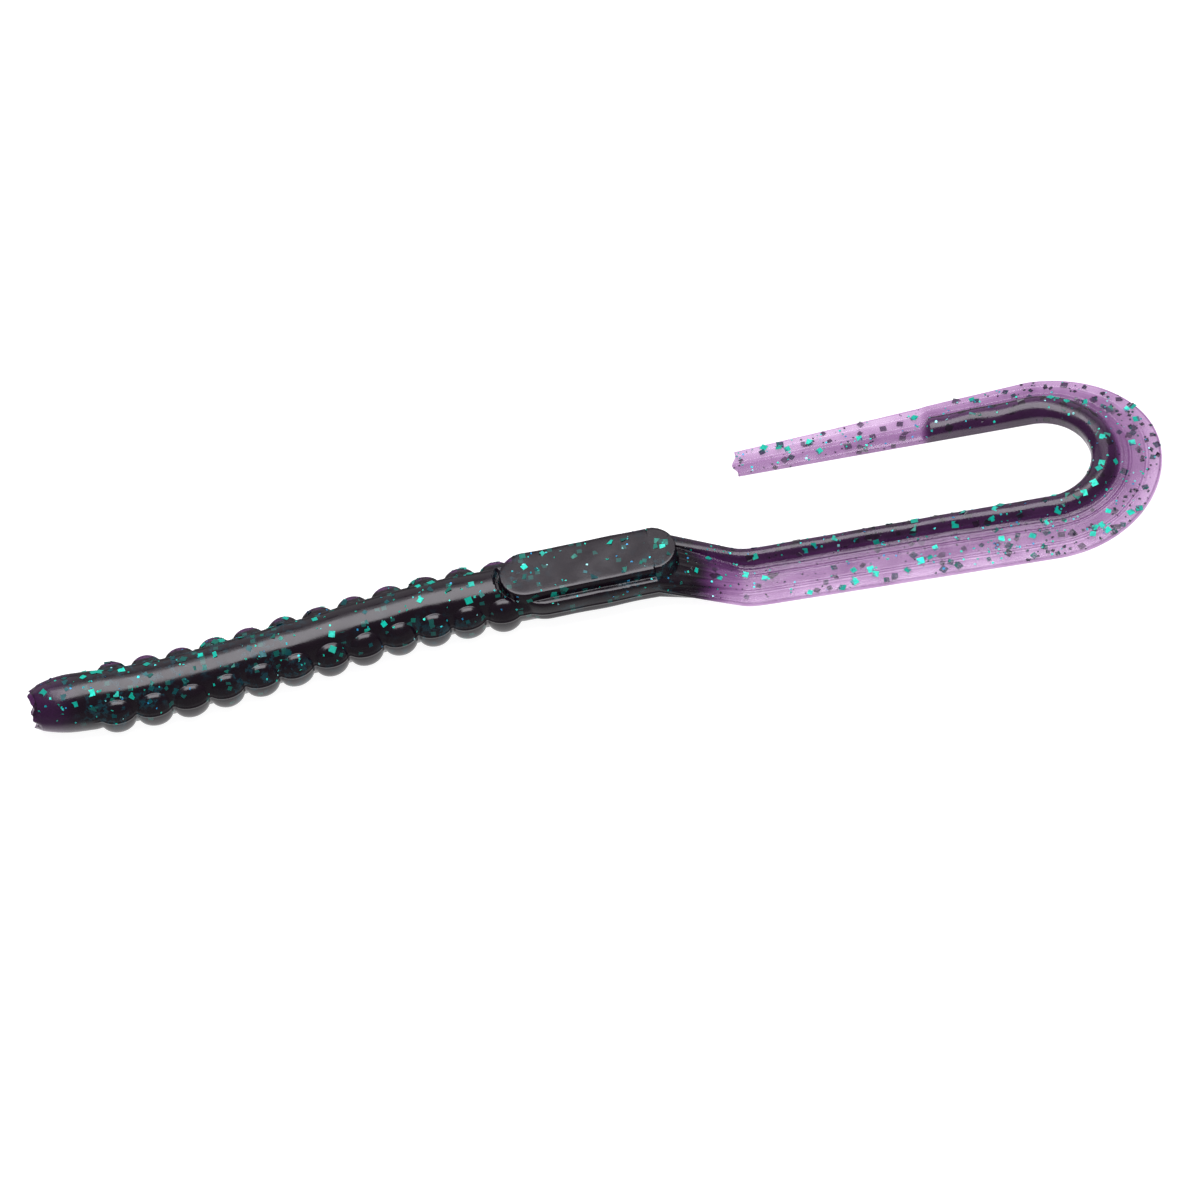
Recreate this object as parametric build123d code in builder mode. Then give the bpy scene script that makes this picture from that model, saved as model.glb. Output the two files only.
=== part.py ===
from build123d import *
from math import cos, radians, sin
import os

os.makedirs("parts", exist_ok=True)

# A U-tail soft plastic worm lying flat, in millimetres.
# The origin is the centre of the blunt nose face. +X runs from the nose to the tail and +Z is up.

# Body
CORE_RADIUS = 4.4
NOSE_FACE_RADIUS = 3.0
NOSE_TAPER = 3.5
NOSE_LENGTH = 9.5
FLOOR = -CORE_RADIUS  # the surface that the worm lies on

# Body axis, seen from above: straight, a turn to the left, straight, a turn back, straight
FIRST_TURN_AT = 12.0
FIRST_TURN = 10.0
FIRST_TURN_RADIUS = 92.1
SLANT_LENGTH = 26.4
SECOND_TURN = -6.5
SECOND_TURN_RADIUS = 106.6
CORE_END_X = 99.8

# Beads along both sides, taller than they are wide
BEAD_RADIUS = 2.5
BEAD_HALF_HEIGHT = 3.5
BEAD_OFFSET = 2.6
BEAD_PITCH = 5.4
FIRST_BEAD_AT = 12.9
BEADS_PER_SEGMENT = 4

# Label pad on the top of the rear body
PAD_START_X = 72.5
PAD_LENGTH = 27.0
PAD_WIDTH = 8.2
PAD_TOP = 4.1
PAD_EDGE_RADIUS = 0.5
SHOULDER_START_X = 74.3
SHOULDER_LENGTH = 25.0
SHOULDER_WIDTH = 10.4
SHOULDER_TOP = 2.5
SHOULDER_BOTTOM = -1.5
SHOULDER_EDGE_RADIUS = 0.9

# Tail ribbon: a U lying flat, with a thick rib along the inside and a thin web outside it
RIBBON_WIDTH = 10.6
RIB_WIDTH = 2.7
RIB_HEIGHT = 3.2
RIB_EDGE_RADIUS = 0.8
WEB_THICKNESS = 0.8
TERRACE_WIDTH = 5.5
TERRACE_THICKNESS = 1.5
RIBBON_START_X = 108.3
RAMP_CORNER = 2.6
ROOT_INNER_Y = 11.4
ROOT_SCALE = 0.9  # ribbon width at its start, as a share of RIBBON_WIDTH
ARM_INNER_Y = 12.8
BEND_X = 154.6
BEND_INNER_RADIUS = 7.7
RETURN_SCALE = 0.75  # ribbon width where the return arm starts, as a share of RIBBON_WIDTH
TIP_X = 109.7
TIP_SCALE = 0.45
TIP_INNER_Y = 26.8
RETURN_RIB_END_X = 138.5

# Flexing places: each is cut as a round knuckle in a round seat about one hinge line
GAP = 0.3
BODY_KNUCKLE = 7.0
ARM_KNUCKLE = 2.4
ARM_HINGE_Z = FLOOR + 1.4
TIP_KNUCKLE = 1.6
TIP_HINGE_Z = FLOOR + 0.7
BEND_KNUCKLE = 6.3
TAIL_ROOT_X = 113.3
TAIL_MID_X = 132.0
RETURN_ROOT_X = 146.0
TIP_HINGE_X = 127.0
REACH = 160.0  # longer than any piece that a cut goes through

# Glitter flakes set in the plastic
FLAKE_SIZE = 1.1
FLAKE_THICKNESS = 0.1
FLAKE_DEPTH_RADIUS = 3.9  # from the body's axis
BODY_FLAKES = 14
PAD_FLAKES = 8
RIBBON_FLAKE_SPACING = 2.4
WEB_FLAKE_SPREAD = 1.8
GOLDEN_ANGLE = 137.5


def save(piece, name):
    """Labels one finished sub-part and writes it."""
    piece.part.label = name
    export_step(piece.part, f"parts/{name}.step")


# The body's axis, from the end of the nose to the end of the round core

with BuildLine() as axis_line:
    lead = Line((NOSE_LENGTH, 0), (FIRST_TURN_AT, 0))
    left_turn = JernArc(lead @ 1, lead % 1, FIRST_TURN_RADIUS, FIRST_TURN)
    slant = PolarLine(left_turn @ 1, SLANT_LENGTH, FIRST_TURN)
    right_turn = JernArc(slant @ 1, slant % 1, SECOND_TURN_RADIUS, SECOND_TURN)
    rear_yaw = FIRST_TURN + SECOND_TURN
    PolarLine(right_turn @ 1, (CORE_END_X - (right_turn @ 1).X) / cos(radians(rear_yaw)), rear_yaw)
body_axis = axis_line.wire()


def axis_place(distance):
    """The plane at a distance from the nose face along the body's axis: its X runs towards the tail."""
    along = distance - NOSE_LENGTH
    origin = body_axis.position_at(along, position_mode=PositionMode.LENGTH)
    heading = body_axis.tangent_at(along, position_mode=PositionMode.LENGTH)
    return Plane(origin=origin, x_dir=heading, z_dir=(0, 0, 1))


def knuckle(hinge, radius):
    """What lies on the far side of a hinge, with a round knuckle about it.

    The hinge plane's X points away from the body that holds the hinge, and its Z is the hinge line.
    """
    with BuildPart(hinge) as far_side:
        Box(REACH, REACH, REACH, align=(Align.MIN, Align.CENTER, Align.CENTER))
        Cylinder(radius, REACH)
    return far_side.part


def level_hinge(place):
    """The hinge plane at a place for bending up and down."""
    across = place.y_dir
    return Plane(origin=place.origin, x_dir=place.x_dir, z_dir=(-across.X, -across.Y, 0))


def cut_after(bead_number):
    """The place that a body knuckle turns about, when its cut passes between two beads."""
    between = axis_place(FIRST_BEAD_AT + BEAD_PITCH * (bead_number - 0.5))
    return Plane(origin=between.origin + between.x_dir * BODY_KNUCKLE, x_dir=between.x_dir, z_dir=(0, 0, 1))


bend_y = ARM_INNER_Y + BEND_INNER_RADIUS
arm_middle_y = ARM_INNER_Y - RIBBON_WIDTH / 2
return_inner_y = bend_y + BEND_INNER_RADIUS

HINGES = {
    "body_lift": (level_hinge(cut_after(BEADS_PER_SEGMENT)), BODY_KNUCKLE),
    "body_swing": (cut_after(2 * BEADS_PER_SEGMENT), BODY_KNUCKLE),
    "tail_root": (
        Plane(origin=(TAIL_ROOT_X, arm_middle_y, ARM_HINGE_Z), x_dir=(1, 0, 0), z_dir=(0, -1, 0)),
        ARM_KNUCKLE,
    ),
    "tail_mid": (
        Plane(origin=(TAIL_MID_X, arm_middle_y, ARM_HINGE_Z), x_dir=(1, 0, 0), z_dir=(0, -1, 0)),
        ARM_KNUCKLE,
    ),
    "bend": (
        Plane(
            origin=(BEND_X + BEND_INNER_RADIUS + RIBBON_WIDTH / 2, bend_y, FLOOR),
            x_dir=(0, 1, 0),
            z_dir=(0, 0, -1),
        ),
        BEND_KNUCKLE,
    ),
    "return_root": (
        Plane(origin=(RETURN_ROOT_X, return_inner_y, ARM_HINGE_Z), x_dir=(-1, 0, 0), z_dir=(0, 1, 0)),
        ARM_KNUCKLE,
    ),
    "tip": (
        Plane(origin=(TIP_HINGE_X, return_inner_y, TIP_HINGE_Z), x_dir=(-1, 0, 0), z_dir=(0, 1, 0)),
        TIP_KNUCKLE,
    ),
}
beyond = {name: knuckle(hinge, radius - GAP / 2) for name, (hinge, radius) in HINGES.items()}
removed = {name: knuckle(hinge, radius + GAP / 2) for name, (hinge, radius) in HINGES.items()}


def keep_between(starts, ends):
    """Trims the part being built to what lies past the hinges in starts and before those in ends."""
    for name in starts:
        add(beyond[name], mode=Mode.INTERSECT)
    for name in ends:
        add(removed[name], mode=Mode.SUBTRACT)


# Nose: a short plug with a tapered, blunt end

with BuildPart() as nose:
    with BuildSketch(Plane.XZ):
        with BuildLine():
            Polyline(
                (0, 0),
                (0, NOSE_FACE_RADIUS),
                (NOSE_TAPER, CORE_RADIUS),
                (NOSE_LENGTH, CORE_RADIUS),
                (NOSE_LENGTH, 0),
                close=True,
            )
        make_face()
    revolve(axis=Axis.X)
save(nose, "nose")


# Body core: one round bar along the axis, cut at the two body knuckles

with BuildPart() as whole_core:
    with BuildSketch(Plane(origin=body_axis @ 0, z_dir=body_axis % 0)):
        Circle(CORE_RADIUS)
    sweep(path=body_axis)

pad_place = axis_place(PAD_START_X)
shoulder_place = axis_place(SHOULDER_START_X)

with BuildPart(pad_place) as above_shoulder:
    Box(
        REACH,
        REACH,
        CORE_RADIUS,
        align=(Align.MIN, Align.CENTER, Align.MIN),
    )
above_shoulder = above_shoulder.part.translate((0, 0, SHOULDER_TOP))

SEGMENTS = {
    "front": ([], ["body_lift"]),
    "middle": (["body_lift"], ["body_swing"]),
    "rear": (["body_swing"], []),
}
for segment, (starts, ends) in SEGMENTS.items():
    with BuildPart() as core:
        add(whole_core.part)
        keep_between(starts, ends)
        if segment == "rear":
            add(above_shoulder, mode=Mode.SUBTRACT)
    save(core, f"{segment}_core")


# Beads: a row of four on each side of each segment, seated on the core

with BuildPart() as bead:
    with BuildSketch(Plane.XZ):
        Ellipse(BEAD_RADIUS, BEAD_HALF_HEIGHT)
        Rectangle(BEAD_RADIUS, 2 * BEAD_HALF_HEIGHT, align=(Align.MAX, Align.CENTER), mode=Mode.SUBTRACT)
    revolve(axis=Axis.Z)

for number, (segment, (starts, ends)) in enumerate(SEGMENTS.items()):
    for side, direction in (("left", 1), ("right", -1)):
        with BuildPart() as beads:
            for count in range(BEADS_PER_SEGMENT):
                bead_index = number * BEADS_PER_SEGMENT + count
                place = axis_place(FIRST_BEAD_AT + BEAD_PITCH * bead_index)
                with Locations(place.shift_origin(place.origin + place.y_dir * (direction * BEAD_OFFSET))):
                    add(bead.part)
            add(whole_core.part, mode=Mode.SUBTRACT)
            keep_between(starts, ends)
        save(beads, f"{segment}_{side}_beads")


# Label pad: a flat-topped stadium standing on a wider shoulder

with BuildPart() as label_pad:
    with BuildSketch(pad_place.offset(SHOULDER_TOP)):
        with Locations((PAD_LENGTH / 2, 0)):
            SlotOverall(PAD_LENGTH, PAD_WIDTH)
    extrude(amount=PAD_TOP - SHOULDER_TOP)
    fillet(label_pad.faces().sort_by(Axis.Z)[-1].edges(), PAD_EDGE_RADIUS)
save(label_pad, "label_pad")

with BuildPart() as pad_shoulder:
    with BuildSketch(shoulder_place.offset(SHOULDER_BOTTOM)):
        with Locations((SHOULDER_LENGTH / 2, 0)):
            SlotOverall(SHOULDER_LENGTH, SHOULDER_WIDTH)
    extrude(amount=SHOULDER_TOP - SHOULDER_BOTTOM)
    fillet(pad_shoulder.faces().sort_by(Axis.Z)[-1].edges(), SHOULDER_EDGE_RADIUS)
    add(whole_core.part, mode=Mode.SUBTRACT)
save(pad_shoulder, "pad_shoulder")


# Tail ribbon


def ribbon_edge(offset):
    """A line along the whole U at an offset outwards from the ribbon's inner edge."""
    bend_radius = BEND_INNER_RADIUS + offset
    exit_radius = BEND_INNER_RADIUS + offset * RETURN_SCALE
    Line((RIBBON_START_X, ROOT_INNER_Y - offset * ROOT_SCALE), (BEND_X, ARM_INNER_Y - offset))
    CenterArc((BEND_X, bend_y), bend_radius, -90, 90)
    EllipticalCenterArc((BEND_X, bend_y), bend_radius, exit_radius, arc_size=90)
    Line((BEND_X, bend_y + exit_radius), (TIP_X, TIP_INNER_Y + offset * TIP_SCALE))


def ribbon_band(inner, outer):
    """A flat band along the U, from one offset to another, drawn on the floor."""
    with BuildSketch(Plane.XY.offset(FLOOR)) as band:
        with BuildLine():
            ribbon_edge(inner)
            ribbon_edge(outer)
            Line(
                (RIBBON_START_X, ROOT_INNER_Y - inner * ROOT_SCALE),
                (RIBBON_START_X, ROOT_INNER_Y - outer * ROOT_SCALE),
            )
            Line((TIP_X, TIP_INNER_Y + inner * TIP_SCALE), (TIP_X, TIP_INNER_Y + outer * TIP_SCALE))
        make_face()
    return band.sketch


with BuildPart() as whole_rib:
    extrude(ribbon_band(0, RIB_WIDTH), amount=RIB_HEIGHT)
    with BuildSketch(Plane.XY.offset(FLOOR)):
        with Locations((RETURN_RIB_END_X, return_inner_y)):
            Rectangle(REACH / 2, REACH / 8, align=(Align.MAX, Align.CENTER))
    extrude(amount=RIB_HEIGHT, mode=Mode.SUBTRACT)
    top_edges = whole_rib.faces().sort_by(Axis.Z)[-1].edges()
    fillet(top_edges.filter_by(lambda edge: edge.length > RIB_WIDTH), RIB_EDGE_RADIUS)

with BuildPart() as whole_web:
    extrude(ribbon_band(0, RIBBON_WIDTH), amount=WEB_THICKNESS)
    extrude(ribbon_band(0, TERRACE_WIDTH), amount=TERRACE_THICKNESS)
    add(whole_rib.part, mode=Mode.SUBTRACT)

TAIL_SEGMENTS = {
    "tail_root": ([], ["tail_root", "bend"]),
    "arm_front": (["tail_root"], ["tail_mid", "bend"]),
    "arm_rear": (["tail_mid"], ["bend"]),
    "bend_far": (["bend"], ["return_root"]),
    "return_arm": (["bend", "return_root"], ["tip"]),
    "tip": (["bend", "tip"], []),
}
for segment, (starts, ends) in TAIL_SEGMENTS.items():
    with BuildPart() as web:
        add(whole_web.part)
        keep_between(starts, ends)
    save(web, f"{segment}_web")
    if segment != "tip":
        with BuildPart() as rib:
            add(whole_rib.part)
            keep_between(starts, ends)
        save(rib, f"{segment}_rib")


# Tail ramp: the round body dropping into the ribbon

ramp_start = axis_place(CORE_END_X)
ramp_height = SHOULDER_TOP - FLOOR
start_plane = Plane(origin=body_axis @ 1, x_dir=ramp_start.y_dir, z_dir=ramp_start.x_dir)
root_middle_y = ROOT_INNER_Y - RIBBON_WIDTH * ROOT_SCALE / 2
end_plane = Plane(origin=(RIBBON_START_X, root_middle_y, FLOOR), x_dir=(0, 1, 0), z_dir=(1, 0, 0))
with BuildPart() as tail_ramp:
    with BuildSketch(start_plane):
        with Locations((0, (SHOULDER_TOP + FLOOR) / 2)):
            RectangleRounded(SHOULDER_WIDTH, ramp_height, RAMP_CORNER)
    with BuildSketch(end_plane):
        with Locations((0, RIB_HEIGHT / 2)):
            RectangleRounded(RIBBON_WIDTH * ROOT_SCALE, RIB_HEIGHT, RIB_EDGE_RADIUS)
    loft()
save(tail_ramp, "tail_ramp")


# Glitter: square flakes set just under the surface, turned by the golden angle from one to the next


def save_flakes(places, name):
    """Writes one group of separate flakes."""
    with BuildPart() as flakes:
        with Locations(*places):
            Box(FLAKE_SIZE, FLAKE_SIZE, FLAKE_THICKNESS)
    save(flakes, name)


def body_flake(distance, angle):
    """A place under the core's surface, facing outwards, at a distance from the nose face."""
    place = axis_place(distance)
    outwards = place.y_dir * cos(radians(angle)) + place.z_dir * sin(radians(angle))
    return Plane(origin=place.origin + outwards * FLAKE_DEPTH_RADIUS, x_dir=place.x_dir, z_dir=outwards)


BODY_GLITTER = {"front": (11.0, 29.0), "middle": (33.8, 50.2), "rear": (55.0, 69.0)}
for segment, (start, end) in BODY_GLITTER.items():
    step = (end - start) / (BODY_FLAKES - 1)
    save_flakes(
        [body_flake(start + step * count, GOLDEN_ANGLE * count) for count in range(BODY_FLAKES)],
        f"{segment}_glitter",
    )

pad_middle = pad_place.offset((SHOULDER_TOP + PAD_TOP) / 2)
pad_step = (PAD_LENGTH - PAD_WIDTH) / (PAD_FLAKES - 1)
save_flakes(
    [
        Plane(
            origin=pad_middle.from_local_coords(
                (PAD_WIDTH / 2 + pad_step * count, PAD_WIDTH / 3 * sin(radians(GOLDEN_ANGLE * count)))
            ),
            x_dir=pad_middle.x_dir.rotate(Axis.Z, GOLDEN_ANGLE * count),
            z_dir=(0, 0, 1),
        )
        for count in range(PAD_FLAKES)
    ],
    "pad_glitter",
)


with BuildLine() as inner_line:
    ribbon_edge(0)
inner_edge = inner_line.wire()


def ribbon_flake(station, offset, turn):
    """A place inside the web, at a station along the U's inner edge and an offset outwards from it."""
    edge_point = inner_edge.position_at(station, position_mode=PositionMode.LENGTH)
    heading = inner_edge.tangent_at(station, position_mode=PositionMode.LENGTH)
    return Plane(
        origin=(
            edge_point.X + heading.Y * offset,
            edge_point.Y - heading.X * offset,
            FLOOR + WEB_THICKNESS / 2,
        ),
        x_dir=(cos(radians(turn)), sin(radians(turn)), 0),
        z_dir=(0, 0, 1),
    )


# Each segment's first and last station and its width as a share of RIBBON_WIDTH
RIBBON_GLITTER = {
    "arm_front": (5.0, 18.2, 1.0),
    "arm_rear": (25.2, 53.6, 1.0),
    "bend_far": (59.6, 74.9, 0.82),
    "return_arm": (80.4, 94.0, 0.66),
    "tip": (99.5, 111.9, 0.5),
}
web_middle = (RIB_WIDTH + RIBBON_WIDTH) / 2
for segment, (start, end, width_scale) in RIBBON_GLITTER.items():
    flake_count = round((end - start) / RIBBON_FLAKE_SPACING) + 1
    step = (end - start) / (flake_count - 1)
    save_flakes(
        [
            ribbon_flake(
                start + step * count,
                width_scale * (web_middle + WEB_FLAKE_SPREAD * sin(radians(GOLDEN_ANGLE * count))),
                GOLDEN_ANGLE * count,
            )
            for count in range(flake_count)
        ],
        f"{segment}_glitter",
    )
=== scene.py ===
"""Looks of a U-tail soft plastic worm lying flat.

One translucent skin is built section by section from the nose to the tip, and cut into seven
pieces. Glitter flakes lie in it. Lengths are millimetres in the CAD frame
until the meshes are written, in metres.
"""

import math

import bpy
import numpy as np
from mathutils import Matrix, Vector


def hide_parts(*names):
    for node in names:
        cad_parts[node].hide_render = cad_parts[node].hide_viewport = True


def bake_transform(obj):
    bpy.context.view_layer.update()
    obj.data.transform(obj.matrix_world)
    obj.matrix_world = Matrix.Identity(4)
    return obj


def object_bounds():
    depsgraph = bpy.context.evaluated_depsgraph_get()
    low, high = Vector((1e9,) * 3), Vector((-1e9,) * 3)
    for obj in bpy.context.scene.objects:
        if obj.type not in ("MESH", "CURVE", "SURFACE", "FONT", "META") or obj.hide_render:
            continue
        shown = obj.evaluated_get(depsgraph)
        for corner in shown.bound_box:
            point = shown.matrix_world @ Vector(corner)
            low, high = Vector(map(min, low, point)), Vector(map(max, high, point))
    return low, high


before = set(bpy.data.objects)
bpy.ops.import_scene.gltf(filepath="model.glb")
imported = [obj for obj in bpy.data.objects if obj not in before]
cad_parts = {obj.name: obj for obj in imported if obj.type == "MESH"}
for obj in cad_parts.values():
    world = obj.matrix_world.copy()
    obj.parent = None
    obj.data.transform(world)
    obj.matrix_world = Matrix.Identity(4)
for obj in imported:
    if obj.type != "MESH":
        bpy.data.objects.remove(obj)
cad_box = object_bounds()

MM = 0.001
FLOOR = cad_box[0].z / MM
CLEARANCE = 0.03  # between the skin and the floor
rng = np.random.default_rng(20)

# Body
CORE_RADIUS = 4.4
NOSE_FACE_RADIUS = 2.8
NOSE_TAPER = 7.0
NOSE_FULLNESS = 0.85  # below 1 swells faster behind the nose's face
AXIS_TURNS_AT = (0.0, 12.0, 28.07, 54.47, 66.56, 120.0)
AXIS_HEADINGS = (0.0, 0.0, 10.0, 10.0, 3.5, 3.5)
AXIS_STEP = 0.01
TORN_LENGTH = 1.6  # of the ragged edge round the nose's face
FACE_RINGS = (0.985, 0.95, 0.88, 0.75, 0.55, 0.3, 0.02)  # the torn face, from its edge inwards
FACE_HOLLOW = 0.5
FACE_ROUGHNESS = 0.12
BEFORE_THE_NOSE = -1.0  # the face's distance along the skin
SEAM_START = 9.0  # of the mould's parting line, which runs along both sides
SEAM_HEIGHT = 0.08
SEAM_HALF_WIDTH = 0.16
SKIN_UNEVENNESS = 0.045
RAMP_START = 95.5
RAMP_END = 108.8

# How deep the plastic looks, as millimetres of it: the body is nearly opaque, its thin parts less
BODY_DEPTH = 24.0
NOSE_DEPTH = 2.3
FACE_DEPTH_SHARE = 0.6
NOSE_DARKENS_OVER = (3, 18)  # distances along the axis
FAR_BEAD_DEPTH = 2.0
NEAR_BEAD_DEPTH = 14.0
BEAD_SHOWS_OVER = (4.4, 4.8)  # radii over which a bead's depth takes over from the core's
FAR_RIM_DEPTH = 2.0
FAR_RIM_ANGLE = 44
FAR_RIM_SPREAD = 12
FAR_RIM_OVER = (82, 93)
RIB_DEPTH = 0.8  # as a share of the rib's height
EDGE_SHADE_DEPTH = 0.7  # painted shade: how much darker a line along the ribbon's outer edge is, standing in for refraction at the rounded edge
PAD_END_DEPTH = 18.0  # just past the pad's end

# Beads
FIRST_BEAD_AT = 12.9
BEAD_PITCH = 5.4
BEAD_COUNT = 12
LAST_BEAD_AT = FIRST_BEAD_AT + (BEAD_COUNT - 1) * BEAD_PITCH
BEADS_END = 75.0
BEAD_HALF_LENGTH = 2.72
BEAD_CENTRE_Y = 3.25
NEAR_BEAD = (1.85, 3.4, -0.45)  # half width, half height and height of its middle
FAR_BEAD = (2.4, 3.0, 0.0)
WAIST = 0.45  # how much narrower the core is at its sides, between the beads

# Label pad and the shoulder under it
PAD_START = 72.5
PAD_END = 100.2
PAD_HALF_WIDTH = 4.1
PAD_TOP = 4.1
PAD_EDGE_DROP = 0.12
SHOULDER_START = 74.0
SHOULDER_HALF_WIDTH = 5.2
SHOULDER_TOP = 2.45
SHOULDER_BOTTOM = 1.6
RECESS_MARGIN = 0.8

# How far the corners and creases of the body's section are rounded
RECESS_CORNER = 0.1
SHOULDER_TOP_CORNER = 0.5
SHOULDER_LOW_CORNER = 0.8
PAD_CORNER = 0.4
SHOULDER_CREASE = 0.12
PAD_CREASE = 0.1
BEAD_CREASE = 0.16

# Ramp
PAST_THE_RAMP = 130  # where the shoulder's and the recess's outlines would close
MATCHING_FROM = 85  # the body's points start to move to where the ribbon's points will be
RAMP_CURVE = 1.2
RAMP_LINES_AT = (0.34, 0.41, 0.48, 0.54, 0.62, 0.71, 0.82, 0.92)  # shares of its width
RAMP_LINE_HALF_WIDTH = 0.008
RAMP_LINE_HEIGHT = 0.07
RAMP_LINE_DEPTH = 1.2
RAMP_LINES_RISE_OVER = (98, 101)
DARK_PAST_PAD = (3.2, 11.0)  # length at the far side, and how much longer at the near side

# Tail ribbon
RIBBON_WIDTH = 10.6
ROOT = (108.4, 11.4)
ROOT_SCALE = 0.9
BEND_CENTRE = (154.6, 20.5)
BEND_INNER_RADIUS = 7.7
RETURN_SCALE = 0.75
TIP = (109.7, 26.8)
TIP_SCALE = 0.45
TIP_RINGS = (0.35, 0.7, 0.95, 1.0)  # the rounded end, from the top's edge down
TIP_ROUND = 0.35
TIP_TEAR = 0.25
TIP_EDGE_HEIGHT = 0.2
RIB_HEIGHT = 2.85
RIB_LOSS = 0.35  # of height, to the end of the return arm
RIB_END_X = 138.5
RIB_END_HALF_LENGTH = 0.9
RIDGE_HEIGHT = 1.0
RIDGE_SHARE = 0.3  # of the ribbon's width, past the end of the rib
EDGE_ROUND = 0.35
# Where the painted shade along the ribbon's outer edge lies, and how wide it is
EDGE_SHADE_INSET = 0.3
EDGE_SHADE_HALF_WIDTH = 0.12
RIB_DARK_MARGIN = 0.35  # on either side of the rib's foot
CROWN_POWER = 0.95  # of the rib's round top
CROWN_SHARPENING = 0.2  # per millimetre that the rib is wider
WEB_PROFILE_AT = (0, 0.06, 0.22, 0.25, 0.40, 0.60, 0.63, 0.80, 0.97, 1.0)
WEB_PROFILE = (1.3, 1.08, 1.0, 0.84, 0.78, 0.72, 0.58, 0.54, 0.47, 0.44)
WEB_LINES_AT = (0.12, 0.24, 0.3, 0.62, 0.69)
WEB_LINE_HALF_WIDTH = 0.011
WEB_LINE_HEIGHT = 0.05
WEB_LINE_DEPTH = 0.22

# Points round a section: from the far or inner side over the top to the near or outer side, and
# back underneath
RIB_STEPS = 52
WEB_STEPS = 80
EDGE_STEPS = 12
TOP_STEPS = RIB_STEPS + WEB_STEPS + EDGE_STEPS
BOTTOM_STEPS = 80
ROUND = TOP_STEPS + BOTTOM_STEPS

# Sections along the skin: (from, to, step) on the body and the ramp, counts on the ribbon
BODY_STRETCHES = (
    (0, TORN_LENGTH, 0.08),
    (TORN_LENGTH, 78, 0.2),
    (78, 93, 0.3),
    (93, RAMP_START, 0.15),
)
PAD_END_STRETCH = (RAMP_START, PAD_END + 0.5, 0.12)
RAMP_STATIONS = 48
ARM_STATIONS = 118
BEND_STATIONS = 98
RETURN_STATIONS = 124


def smooth_max(a, b, k):
    """The larger of two lengths, with the crease between them rounded by about k."""
    return 0.5 * (a + b + np.sqrt((a - b) ** 2 + k * k))


def smooth_min(a, b, k):
    """The smaller of two lengths, with the corner between them rounded by about k."""
    return 0.5 * (a + b - np.sqrt((a - b) ** 2 + k * k))


def smooth_step(x, low, high):
    """0 below low, 1 above high, and an S curve between."""
    t = np.clip((x - low) / (high - low), 0, 1)
    return t * t * (3 - 2 * t)


def bell(x):
    """1 at 0, and next to nothing past 2 on either side."""
    return np.exp(-(x**2))


def waves(seed, x, y, x_scale, y_scale, count=10):
    """Smooth unevenness between about -1 and 1 over two coordinates. y is an angle in radians."""
    draw = np.random.default_rng(seed)
    total = 0
    for _ in range(count):
        across = draw.integers(0, y_scale + 1)
        along_x = x * draw.uniform(0.4, 1) * 2 * math.pi / x_scale
        total = total + np.sin(along_x + across * y + draw.uniform(0, 6.28))
    return total / math.sqrt(count)


def resampled(points, steps):
    """The polyline again with its points evenly spaced."""
    points = np.asarray(points, float)
    lengths = np.r_[0, np.cumsum(np.hypot(*np.diff(points, axis=0).T))]
    at = np.linspace(0, lengths[-1], steps + 1)
    x, y = (np.interp(at, lengths, points[:, axis]) for axis in (0, 1))
    return np.stack([x, y], 1)


# Body axis

fine = np.arange(0, AXIS_TURNS_AT[-1], AXIS_STEP)
fine_heading = np.radians(np.interp(fine, AXIS_TURNS_AT, AXIS_HEADINGS))
fine_x = np.cumsum(np.cos(fine_heading)) * AXIS_STEP - AXIS_STEP
fine_y = np.cumsum(np.sin(fine_heading)) * AXIS_STEP


def axis_at(s):
    """x, y and heading at a distance from the nose face along the body's axis."""
    return tuple(np.interp(s, fine, values) for values in (fine_x, fine_y, fine_heading))


def place_on_axis(s, lat, z):
    """Points of a section square to the axis: lat is the distance to its far side."""
    x, y, heading = axis_at(s)
    return np.stack([x - lat * math.sin(heading), y + lat * math.cos(heading), z], 1)


# Body section: a radius for each angle round the axis, 0 at the far side and 90 degrees at the top


def stadium_half_width(s, start, end, half_width):
    """Half the width of a stadium at a place along it, and 0 outside it."""
    from_end = np.clip(np.minimum(s - start, end - s), 0, half_width)
    return np.sqrt(np.clip(half_width**2 - (half_width - from_end) ** 2, 0, None))


def bead_radius(s, angle):
    """How far out the beads reach: where a ray at this angle leaves the bead's ellipse."""
    index = np.clip(np.round((s - FIRST_BEAD_AT) / BEAD_PITCH), 0, BEAD_COUNT - 1)
    off = (s - FIRST_BEAD_AT - index * BEAD_PITCH) / BEAD_HALF_LENGTH
    full = np.sqrt(np.clip(1 - off**2, 0, None))
    c, z = np.abs(np.cos(angle)), np.sin(angle)
    far = np.cos(angle) > 0
    a, b, lift = (np.where(far, *values) for values in zip(FAR_BEAD, NEAR_BEAD))
    a = a * full + 1e-6
    b = b * full**0.8 + 1e-6
    qa = (c / a) ** 2 + (z / b) ** 2
    qb = -2 * (c * BEAD_CENTRE_Y / a**2 + z * lift / b**2)
    qc = (BEAD_CENTRE_Y / a) ** 2 + (lift / b) ** 2 - 1
    inside = qb * qb - 4 * qa * qc
    hit = (-qb + np.sqrt(np.clip(inside, 0, None))) / (2 * qa)
    return np.where((inside > 0) & (full > 0.02), hit, 0)


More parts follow.
